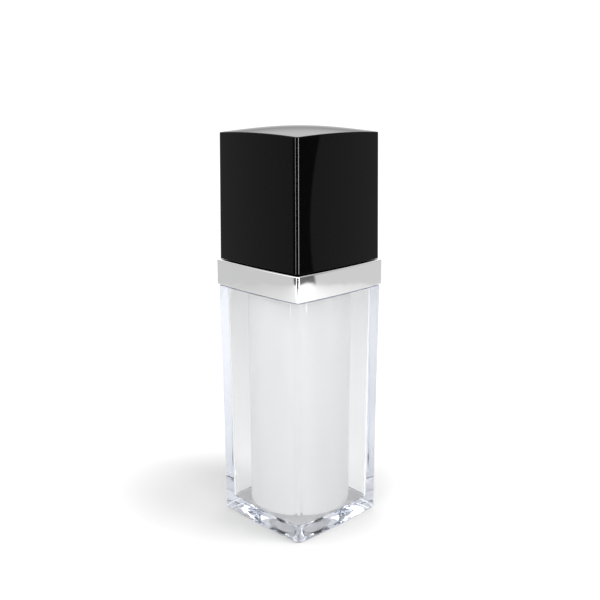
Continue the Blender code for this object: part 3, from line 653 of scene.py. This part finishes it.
def make_liner():
    """Bush that grips the tower, with its square flange in the cap's mouth, a closed roof and
    four fins. A fin is a prism over the unit square, stretched along the way to its corner and
    thinned across it."""
    bore, wall, flange = TOWER + GAP, 1.0 * MM, 1.2 * MM
    foot, roof = low("overcap_liner").z, high("overcap_liner").z - wall
    reach = CAP_FOOT_REACH - 2.0 * MM - GAP
    rows = [
        (0.02 * MM, roof, 0, 0.01 * MM, 1),
        (bore, roof, 0.8 * MM, 1.0 * MM, 1),
        (bore, foot + 5.0 * MM, 0.4 * MM, 1.0 * MM, 1),
        (bore + 0.12 * MM, foot + 4.4 * MM, 0.4 * MM, 1.0 * MM, 1),
        (bore + 0.12 * MM, foot + 0.6 * MM, 0.4 * MM, 1.0 * MM, 1),
        (bore + 0.5 * MM, foot, 0.2 * MM, 1.0 * MM, 1),
        (reach, foot, 0.25 * MM, 1.0 * MM, 0),
        (reach, foot + flange, 0.25 * MM, 1.0 * MM, 0),
        (bore + wall, foot + flange, 0.3 * MM, 1.0 * MM, 1),
        (bore + wall, roof + wall, 0.6 * MM, 1.0 * MM, 1),
        (0.02 * MM, roof + wall, 0, 0.01 * MM, 1),
    ]
    inner, outer, half_fin = bore + wall / 2, 21.9 * MM, 0.6 * MM
    middle, half_way = (inner + outer) / 2, (outer - inner) / 2
    corners = math.pi / 4 + np.arange(4)[None] * math.pi / 2
    fin_foot, fin_top, edge = foot + flange / 2, roof + wall * 0.8, math.sqrt(2)
    fin_rows = [(0, fin_foot, 0), (edge, fin_foot, 0), (edge, fin_top, 0), (0, fin_top, 0)]
    prism = turned(fin_rows, False, corners)
    along, aside = middle + half_way * prism[..., 0], half_fin * prism[..., 1]
    grids = [squared(rows)]
    for angle in corners[0]:
        x = along * math.cos(angle) - aside * math.sin(angle)
        y = along * math.sin(angle) + aside * math.cos(angle)
        grids.append(np.stack([x, y, prism[..., 2]], axis=-1))
    return piece("overcap_inner_liner", "overcap_liner", grids, False, LINER_BLACK, sharp=CRISP)


# ---- Follower ----


def make_follower():
    """Follower with a sealing lip at each end of its skirt and a well for the pump's foot."""
    foot, top = low("follower_piston").z, high("follower_piston").z
    lip = BORE - GAP
    skirt, inner, well, web = lip - 0.6 * MM, lip - 1.7 * MM, 6.9 * MM, 1.2 * MM
    web_top = top - 1.5 * MM
    well_floor = web_top - 5.5 * MM
    rows = [
        (0, well_floor - web, 0),
        (well + web, well_floor - web, 0.5 * MM),
        (well + web, web_top - web, 0.4 * MM),
        (inner, web_top - web, 0.4 * MM),
        (inner + 0.6 * MM, foot, 0.15 * MM),
        (lip, foot, 0.15 * MM),
        (skirt, foot + 1.2 * MM, 0.5 * MM),
        (skirt, top - 1.2 * MM, 0.5 * MM),
        (lip, top, 0.15 * MM),
        (inner + 0.6 * MM, top, 0.15 * MM),
        (inner, web_top, 0.4 * MM),
        (well, web_top, 0.4 * MM),
        (well, well_floor, 0.5 * MM),
        (0, well_floor, 0),
    ]
    return piece("follower_disc", "follower_piston", [turned(rows, False)], False, MILKY)


# ---- Pump: fixed parts ----


def make_gasket(name, node, inner, outer):
    """Flat ring with soft edges and two low sealing beads on each side."""
    foot, top = low(node).z, high(node).z
    bead, step = 0.12 * MM, (outer - inner) / 5
    stops = [(inner + step * k, bead * ((k - 1) % 2)) for k in range(1, 5)]
    rows = [(inner, foot + bead, 0.1 * MM)]
    rows += [(radius, foot + dip, 0.05 * MM) for radius, dip in stops]
    rows += [(outer, foot + bead, 0.1 * MM), (outer, top - bead, 0.1 * MM)]
    rows += [(radius, top - dip, 0.05 * MM) for radius, dip in reversed(stops)]
    rows += [(inner, top - bead, 0.1 * MM)]
    return ring_piece(name, node, rows, RUBBER)


def make_carrier():
    """Plug with a lip seal in the bottle's bore, a flange, a floor and the boss for the pump."""
    foot, top = low("pump_carrier").z, high("pump_carrier").z
    outer, flange = BORE - GAP, high("pump_carrier").x
    wall, bore = 1.1 * MM, CHAMBER + 1.2 * MM + GAP
    boss = bore + 1.3 * MM
    plate_top = top - 3.6 * MM
    plate = plate_top - 0.8 * MM
    rows = [
        (bore, foot, 0.2 * MM),
        (outer - 0.5 * MM, foot, 0.3 * MM),
        (outer - 0.3 * MM, foot + 1.2 * MM, 0.3 * MM),
        (outer, foot + 2.0 * MM, 0.25 * MM),
        (outer - 0.3 * MM, foot + 2.8 * MM, 0.3 * MM),
        (outer - 0.3 * MM, plate, 0.2 * MM),
        (flange, plate, 0.15 * MM),
        (flange, plate_top, 0.2 * MM),
        (outer - wall, plate_top, 0.3 * MM),
        (outer - wall, foot + wall, 0.5 * MM),
        (boss, foot + wall, 0.5 * MM),
        (boss, top, 0.25 * MM),
        (bore, top, 0.25 * MM),
    ]
    return ring_piece("pump_mount_plug", "pump_carrier", rows, NATURAL)


def make_housing():
    """Dosing chamber: flange, lead-in at the top of the bore, cone at the foot, inlet tube."""
    foot, top = low("pump_housing").z, high("pump_housing").z
    outer, inlet, boss = CHAMBER + 1.2 * MM, 1.2 * MM, high("pump_housing").x
    floor = foot + 3.5 * MM
    rows = [
        (inlet, foot, 0.2 * MM),
        (inlet + 1.4 * MM, foot, 0.3 * MM),
        (inlet + 1.4 * MM, floor - 1.2 * MM, 0.4 * MM),
        (outer - 1.2 * MM, floor - 1.2 * MM, 0.4 * MM),
        (outer, floor, 0.4 * MM),
        (outer, top - 1.0 * MM, 0.2 * MM),
        (boss, top - 1.0 * MM, 0.15 * MM),
        (boss, top, 0.2 * MM),
        (CHAMBER + 0.25 * MM, top, 0.1 * MM),
        (CHAMBER, top - 0.4 * MM, 0.1 * MM),
        (CHAMBER, floor, 0.4 * MM),
        (inlet, floor, 0.2 * MM),
    ]
    return ring_piece("pump_housing_tube", "pump_housing", rows, NATURAL)


def make_guide():
    """Cap over the pump: a sleeve round the stem, a plate and a snap skirt with a bead inside."""
    foot, top = low("stem_guide").z, high("stem_guide").z
    outer, wall = high("stem_guide").x, 1.2 * MM
    plate = top - 1.4 * MM
    rows = [
        (STEM + GAP, plate - 1.1 * MM, 0.15 * MM),
        (CHAMBER - GAP, plate - 1.1 * MM, 0.15 * MM),
        (CHAMBER - GAP, plate, 0.1 * MM),
        (outer - wall, plate, 0.2 * MM),
        (outer - wall, foot + 0.2 * MM, 0.1 * MM),
        (outer - wall + 0.15 * MM, foot, 0.1 * MM),
        (outer, foot, 0.2 * MM),
        (outer, top, 0.45 * MM),
        (STEM + GAP + 0.25 * MM, top, 0.1 * MM),
        (STEM + GAP, top - 0.3 * MM, 0.1 * MM),
    ]
    return ring_piece("stem_guide_cap", "stem_guide", rows, NATURAL)


def make_retainer():
    """Cage over the inlet ball, with a step for the spring's end."""
    foot, top = low("ball_retainer").z, high("ball_retainer").z
    outer, bore, hole = high("ball_retainer").x, 2.2 * MM, 1.2 * MM
    rows = [
        (bore, foot, 0.15 * MM),
        (outer, foot, 0.2 * MM),
        (outer, top, 0.25 * MM),
        (hole, top, 0.2 * MM),
        (hole, top - 0.8 * MM, 0.15 * MM),
        (bore, top - 0.8 * MM, 0.3 * MM),
    ]
    return ring_piece("ball_cage", "ball_retainer", rows, NATURAL)


def make_spring():
    """Return spring of 0.7 mm wire, 4.5 turns, with closer end turns.

    Height over the share s of its turns is foot + rise * (s - ease * sin(2 pi s) / 2 pi).
    """
    foot, top = low("return_spring").z, high("return_spring").z
    wire = 0.35 * MM
    turns, ease = 4.5, 0.5
    radius = CHAMBER - 1.5 * MM
    s = np.linspace(0, 1, 360)
    angle = math.tau * turns * s
    rise = top - foot - 2 * wire
    height = foot + wire + rise * (s - ease * np.sin(math.tau * s) / math.tau)
    centre = np.stack([radius * np.cos(angle), radius * np.sin(angle), height], axis=-1)
    spring = piece("return_spring_coil", "return_spring", [swept(centre, wire)], False, STEEL)
    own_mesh(spring)
    return spring


# ---- Pump: moving parts ----


def make_ball():
    """Ball as a turned half circle: radius r cos(e) and height r sin(e) over elevation e."""
    middle = (low("inlet_ball").z + high("inlet_ball").z) / 2
    radius = high("inlet_ball").z - middle
    rise = np.linspace(-math.pi / 2, math.pi / 2, 49)
    rows = [(max(radius * math.cos(e), 0), middle + radius * math.sin(e), 0) for e in rise]
    return piece("inlet_valve_ball", "inlet_ball", [turned(rows, False)], False, STEEL)


def make_piston():
    """Dosing piston: a sleeve with a thin sealing lip at each end and a waist between them."""
    foot, top = low("pump_piston").z, high("pump_piston").z
    lip, bore = CHAMBER - GAP, STEM + GAP
    rows = [
        (bore, foot + 0.3 * MM, 0.1 * MM),
        (bore + 0.35 * MM, foot, 0.1 * MM),
        (lip - 0.9 * MM, foot + 0.6 * MM, 0.2 * MM),
        (lip - 0.25 * MM, foot, 0.08 * MM),
        (lip, foot + 0.15 * MM, 0.08 * MM),
        (lip - 0.6 * MM, foot + 1.3 * MM, 0.4 * MM),
        (lip - 0.6 * MM, top - 1.3 * MM, 0.4 * MM),
        (lip, top - 0.15 * MM, 0.08 * MM),
        (lip - 0.25 * MM, top, 0.08 * MM),
        (bore, top, 0.15 * MM),
    ]
    return ring_piece("dosing_piston_sleeve", "pump_piston", rows, MILKY)


def make_stem():
    """Hollow stem with the collar that lifts the piston, and a chamfer at its upper end."""
    foot, top = low("pump_stem").z, high("pump_stem").z
    collar, bore = high("pump_stem").x, STEM - 1.4 * MM
    step = high("pump_piston").z + 0.9 * MM
    rows = [
        (bore, foot, 0.15 * MM),
        (STEM, foot, 0.2 * MM),
        (STEM, step, 0.15 * MM),
        (collar, step, 0.15 * MM),
        (collar, step + 1.0 * MM, 0.15 * MM),
        (STEM, step + 1.0 * MM, 0.2 * MM),
        (STEM, top - 0.5 * MM, 0.2 * MM),
        (STEM - 0.35 * MM, top, 0.1 * MM),
        (bore, top, 0.1 * MM),
    ]
    return ring_piece("hollow_stem", "pump_stem", rows, NATURAL)


def make_rod():
    """Rod with a cone head that shuts the piston's bore."""
    foot, top = low("piston_rod").z, high("piston_rod").z
    head, rod = high("piston_rod").x, STEM - 1.4 * MM - GAP
    rows = [
        (0, foot, 0),
        (head, foot, 0.2 * MM),
        (head, foot + 0.8 * MM, 0.15 * MM),
        (rod, foot + 1.6 * MM, 0.2 * MM),
        (rod, top, 0.3 * MM),
        (0, top, 0),
    ]
    grids = [turned(rows, False)]
    return piece("cone_headed_rod", "piston_rod", grids, False, NATURAL, sharp=CRISP)


def make_core():
    """Core of the pump head: socket for the stem, plate under the cover, and a tube to the nozzle
    with its channel, which a drop joins to the socket."""
    foot, top = low("actuator_core").z, high("actuator_core").z
    plate, reach = high("actuator_core").x, -high("nozzle_insert").y - GAP
    bore, outer = STEM + GAP, STEM + GAP + 1.3 * MM
    rows = [
        (0, CHANNEL_Z - 1.0 * MM, 0),
        (bore, CHANNEL_Z - 1.0 * MM, 0.1 * MM),
        (bore, foot + 0.4 * MM, 0.1 * MM),
        (bore + 0.3 * MM, foot, 0.1 * MM),
        (outer, foot, 0.2 * MM),
        (outer, top - 1.2 * MM, 0.4 * MM),
        (plate, top - 1.2 * MM, 0.2 * MM),
        (plate, top, 0.2 * MM),
        (0, top, 0),
    ]
    tube = along_y(rod(2.2 * MM, outer - 0.6 * MM, reach, 0.1 * MM), CHANNEL_Z)
    channel = along_y(rod(1.0 * MM, 0, reach + MM), CHANNEL_Z)
    drop = turned(rod(1.0 * MM, CHANNEL_Z - 3 * MM, CHANNEL_Z), False)
    grids, cutters = [turned(rows, False), tube], [channel, drop]
    return joined_piece("head_core", "actuator_core", grids, NATURAL, cutters)


def make_head_cover():
    """Plated cover: skirt, softly rounded shoulder, a crowned top that a finger presses, nose.

    The crown is rise * (1 - (r / edge)^2) over radius r.
    """
    foot, top = low("actuator_shell").z, high("actuator_shell").z
    outer, wall, crown = high("actuator_shell").x, 1.1 * MM, 1.4 * MM
    shoulder, edge = top - crown, outer - 1.1 * MM
    reach = -low("actuator_shell").y
    rows = [
        (0, top - wall, 0),
        (outer - wall, shoulder - wall, 0.5 * MM),
        (outer - wall, foot, 0.15 * MM),
        (outer, foot, 0.3 * MM),
        (outer, shoulder, 0.9 * MM),
    ]
    rows += [(edge * r, shoulder + crown * (1 - r**2), 0) for r in np.linspace(1, 0, 16)]
    nose = along_y(rod(3.2 * MM, outer - wall / 2, reach, 0.35 * MM), CHANNEL_Z)
    bore = along_y(rod(2.5 * MM, outer / 2, reach + MM), CHANNEL_Z)
    grids = [turned(rows, False), nose]
    return joined_piece("plated_head_cover", "actuator_shell", grids, HEAD_CHROME, [bore])


def make_nozzle():
    """Nozzle insert: a dished face round the orifice, and a wider bore behind it."""
    start, tip = -high("nozzle_insert").y, -low("nozzle_insert").y
    rows = [
        (1.0 * MM, start, 0.1 * MM),
        (2.2 * MM, start, 0.15 * MM),
        (2.2 * MM, tip - 0.3 * MM, 0.2 * MM),
        (1.85 * MM, tip, 0.15 * MM),
        (1.3 * MM, tip, 0.1 * MM),
        (0.6 * MM, tip - 0.35 * MM, 0.1 * MM),
        (0.6 * MM, tip - 1.1 * MM, 0.05 * MM),
        (1.0 * MM, tip - 1.1 * MM, 0.05 * MM),
    ]
    grids = [along_y(rows, CHANNEL_Z)]
    return piece("nozzle_tip", "nozzle_insert", grids, True, NATURAL, sharp=CRISP)


shell = make_outer_shell()
bottle = make_inner_bottle()
collar = make_collar()
cap = make_overcap()
make_liner()
make_follower()
make_gasket("neck_seal_ring", "neck_gasket", BORE + GAP, high("neck_gasket").x)
make_gasket("housing_seal_ring", "housing_gasket", CHAMBER + 1.5 * MM, high("housing_gasket").x)
make_carrier()
make_housing()
make_guide()
make_retainer()
make_spring()
make_ball()
make_piston()
make_stem()
make_rod()
make_core()
make_head_cover()
make_nozzle()


# ---- Camera ----

CAMERA_DISTANCE = 294.2 * MM
CAMERA_HEIGHT = 152.9 * MM
CAMERA_AZIMUTH = math.radians(46.02)
CAMERA_PAN = math.radians(45.979)
CAMERA_PITCH = math.radians(14.263)
CAMERA_ROLL = math.radians(-0.19)
CAMERA_LENS = 52.7  # millimetres, for a sensor 36 wide


def make_camera():
    """A camera that faces an edge of the bottle. Pan turns it about Z, pitch tips it down, and
    roll turns it about its own axis."""
    data = bpy.data.cameras.new("camera")
    data.lens = CAMERA_LENS
    data.sensor_width = 36.0
    data.clip_start, data.clip_end = 0.01, 50.0
    camera = linked("camera", data)
    back = Vector((math.sin(CAMERA_AZIMUTH), -math.cos(CAMERA_AZIMUTH), 0))
    place = back * CAMERA_DISTANCE + Vector((0, 0, CAMERA_HEIGHT))
    flat = Vector((-math.sin(CAMERA_PAN), math.cos(CAMERA_PAN), 0))
    ahead = flat * math.cos(CAMERA_PITCH) + Vector((0, 0, -math.sin(CAMERA_PITCH)))
    right = ahead.cross(Vector((0, 0, 1))).normalized()
    up = right.cross(ahead)
    cos, sin = math.cos(CAMERA_ROLL), math.sin(CAMERA_ROLL)
    turned_right, turned_up = right * cos + up * sin, up * cos - right * sin
    axes = Matrix((turned_right, turned_up, -ahead)).transposed().to_4x4()
    camera.matrix_world = Matrix.Translation(place) @ axes
    bpy.context.scene.camera = camera


# ---- Studio: a light tent, open towards the camera ----

TENT_RADIUS = 385 * MM
TENT_HEIGHT = 620 * MM
FLOOR_HEIGHT = -0.05 * MM  # so that it shares no plane with the bottle's foot
BACKDROP_LEVEL = 1.12
STRIP_HEIGHT = 300 * MM
STRIP_MIDDLE = 151 * MM
FRONT = (math.sin(CAMERA_AZIMUTH), -math.cos(CAMERA_AZIMUTH))
RIGHT = (math.cos(CAMERA_AZIMUTH), math.sin(CAMERA_AZIMUTH))


def stage_piece(name, rows, material):
    """Rows turned about Z, made into an object with the given material."""
    made = grid_object(name, turned(rows, False))
    made.data.materials.append(material)
    return made


def is_scattered(graph):
    """1 for light that has already been scattered once, and 0 for light on its way to it."""
    return graph.add("ShaderNodeLightPath", out="Diffuse Depth").math("MINIMUM", 1.0)


def make_floor():
    """A pale matt floor with painted light: it also glows, by how a ray comes to it.

    For the camera and in mirrors the glow grows with the distance from a point left of the
    bottle, which leaves a painted soft shade round the foot. Through the acrylic it falls off
    instead, which paints light on the floor close to the bottle. For scattered light it is a
    painted patch of light under the foot, which lights the bottle from below.
    """
    material = bpy.data.materials.new("floor")
    graph = Graph(material)
    diffuse = graph.add("ShaderNodeBsdfDiffuse", None, grey(0.57))
    mirror_glow, more_for_camera, through_glow, through_fall = 0.14, 0.24, 0.22, 0.13
    foot_glow, foot_reach, foot_softness = 1.3, 22 * MM, 8 * MM
    shade_reach, shade_softness, shade_shift = 62 * MM, 64 * MM, 12 * MM
    x, y, _ = graph.axes()
    # painted light: a glowing patch under the foot, seen by scattered rays
    under = 1 - (x * x + y * y).math("SQRT").above(foot_reach, foot_softness)
    x, y = x + shade_shift * RIGHT[0], y + shade_shift * RIGHT[1]
    # painted shade: the glow is held low near the foot, centred a little to its left
    far = (x * x + y * y).math("SQRT").above(shade_reach, shade_softness)
    direct = 1 - is_scattered(graph)
    seen = graph.add("ShaderNodeLightPath", out="Is Camera Ray")
    through = graph.add("ShaderNodeLightPath", out="Is Transmission Ray")
    level = (seen * more_for_camera + mirror_glow) * far * (1 - through)
    # painted light: seen through the acrylic, the floor glows more close to the bottle
    level = level + through * (through_glow - far * through_fall)
    level = level * direct + under * (1 - direct) * foot_glow
    glow = graph.add("ShaderNodeEmission", None, grey(1.0), level)
    both = graph.add("ShaderNodeAddShader", None, diffuse, glow)
    graph.add("ShaderNodeOutputMaterial", None, both)
    stage_piece("floor", [(0, FLOOR_HEIGHT, 0), (TENT_RADIUS, FLOOR_HEIGHT, 0)], material)


def make_tent():
    """Walls and ceiling that glow by their place: ahead of the axis and to its side, in tent
    radii, and up. The camera doesn't see them.

    The front is open: dark in mirrors and bright for scattered light, as from the room beyond.
    The opening ends on the left at an upright edge, and on the right at one that bulges ahead to
    right_edge at bulge_height and falls back by bulge times the square of the height from there.
    High up the wall is brighter in front, mostly on the left, and behind, and dimmer elsewhere.
    """
    material = bpy.data.materials.new("tent")
    graph = Graph(material)
    left_edge, right_edge, softness = 0.177, 0.199, 0.012
    bulge, bulge_height = 12.5, 52 * MM
    dark_front, scattered_front = 0.17, 2.8
    wall_level, right_gain, overhead_loss, behind_gain, ceiling_loss = 0.82, 0.02, 0.25, 1.6, 0.4
    x, y, z = graph.axes()
    ahead = (x * FRONT[0] + y * FRONT[1]) / TENT_RADIUS
    side = (x * RIGHT[0] + y * RIGHT[1]) / TENT_RADIUS
    is_right = side.above(0.0, 0.01)
    bulged = (z - bulge_height).math("POWER", 2.0) * -bulge + right_edge
    left_open = ahead.above(left_edge, softness) * (1 - is_right)
    right_open = (ahead - bulged).above(0.0, softness) * is_right
    overhead = z.above(190 * MM, 80 * MM)
    opening = (left_open + right_open) * (1 - overhead)
    behind = (ahead * -1.0).above(0.6, 0.5) * z.above(240 * MM, 100 * MM)
    over_front = ahead.above(0.0, 0.6) * overhead * (side * -1.2 + 1.35)
    ceiling = z.above(600 * MM, 20 * MM)
    wall = side * right_gain + wall_level - overhead * overhead_loss
    wall = wall + behind * behind_gain + over_front - ceiling * ceiling_loss
    front = is_scattered(graph) * scattered_front + dark_front
    level = wall * (1 - opening) + opening * front
    emission = graph.add("ShaderNodeEmission", None, grey(1.0), level)
    graph.add("ShaderNodeOutputMaterial", None, emission)
    material.cycles.emission_sampling = "NONE"
    rows = [(TENT_RADIUS, 0, 0), (TENT_RADIUS, TENT_HEIGHT, 0), (0, TENT_HEIGHT, 0)]
    stage_piece("tent", rows, material).visible_camera = False


def make_light(name, azimuth, level, size, distance, lift, only=None, aim=None):
    """A rectangle of light. Azimuth is from the camera's side, positive to the right.

    Its radiance is level, which takes level * pi * area watts. It lights the pieces in only, or
    everything. Without an aim it stands upright, and shows in mirrors and through the acrylic
    but lights nothing else. With one, a height on the axis, it gives scattered light alone.
    """
    data = bpy.data.lights.new(name, "AREA")
    data.shape = "RECTANGLE"
    data.size, data.size_y = size
    data.energy = level * math.pi * size[0] * size[1]
    light = linked(name, data)
    angle = math.radians(azimuth)
    ahead, aside = math.cos(angle), math.sin(angle)
    away = Vector([FRONT[k] * ahead + RIGHT[k] * aside for k in range(2)] + [0])
    light.location = away * distance + Vector((0, 0, lift))
    light.rotation_mode = "QUATERNION"
    target = Vector((0, 0, lift if aim is None else aim))
    light.rotation_quaternion = (light.location - target).to_track_quat("Z", "Y")
    light.visible_camera = False
    light.visible_diffuse = aim is not None
    light.visible_glossy = light.visible_transmission = aim is None
    if only:
        lit = bpy.data.collections.new(name)
        for made in only:
            lit.objects.link(made)
        light.light_linking.receiver_collection = lit


def make_backdrop():
    """The even white that the camera sees past the floor, because the tent is hidden from it."""
    world = bpy.data.worlds.new("backdrop")
    bpy.context.scene.world = world
    graph = Graph(world)
    background = graph.add("ShaderNodeBackground", None, grey(1.0), BACKDROP_LEVEL)
    graph.add("ShaderNodeOutputWorld", None, background)


make_camera()
make_floor()
make_tent()

# Each upright strip's name, azimuth, level, width and distance, and the pieces it shows in
STRIPS = [
    ("strip_left", -67, 8.0, 35 * MM, 300 * MM, [collar]),
    ("strip_right", 67, 14.0, 35 * MM, 300 * MM, [collar]),
    ("shell_strip_left", -67, 9.0, 35 * MM, 290 * MM, [shell, bottle]),
    ("shell_strip_right", 67, 11.0, 35 * MM, 290 * MM, [shell, bottle]),
    ("cap_strip_left", -70, 42.0, 35 * MM, 280 * MM, [cap]),
    ("cap_strip_right", 34, 58.0, 70 * MM, 280 * MM, [cap]),
]
for name, azimuth, level, width, distance, lit_pieces in STRIPS:
    size = (width, STRIP_HEIGHT)
    make_light(name, azimuth, level, size, distance, STRIP_MIDDLE, only=lit_pieces)
make_light("key", 70, 12.0, (200 * MM, 200 * MM), 330 * MM, 340 * MM, aim=40 * MM)
make_backdrop()

# Light crosses many walls of acrylic before it leaves the bottle.
cycles = bpy.context.scene.cycles
cycles.max_bounces, cycles.glossy_bounces, cycles.transmission_bounces = 32, 24, 32
cycles.diffuse_bounces = 10
bpy.context.scene.view_settings.view_transform = "Standard"
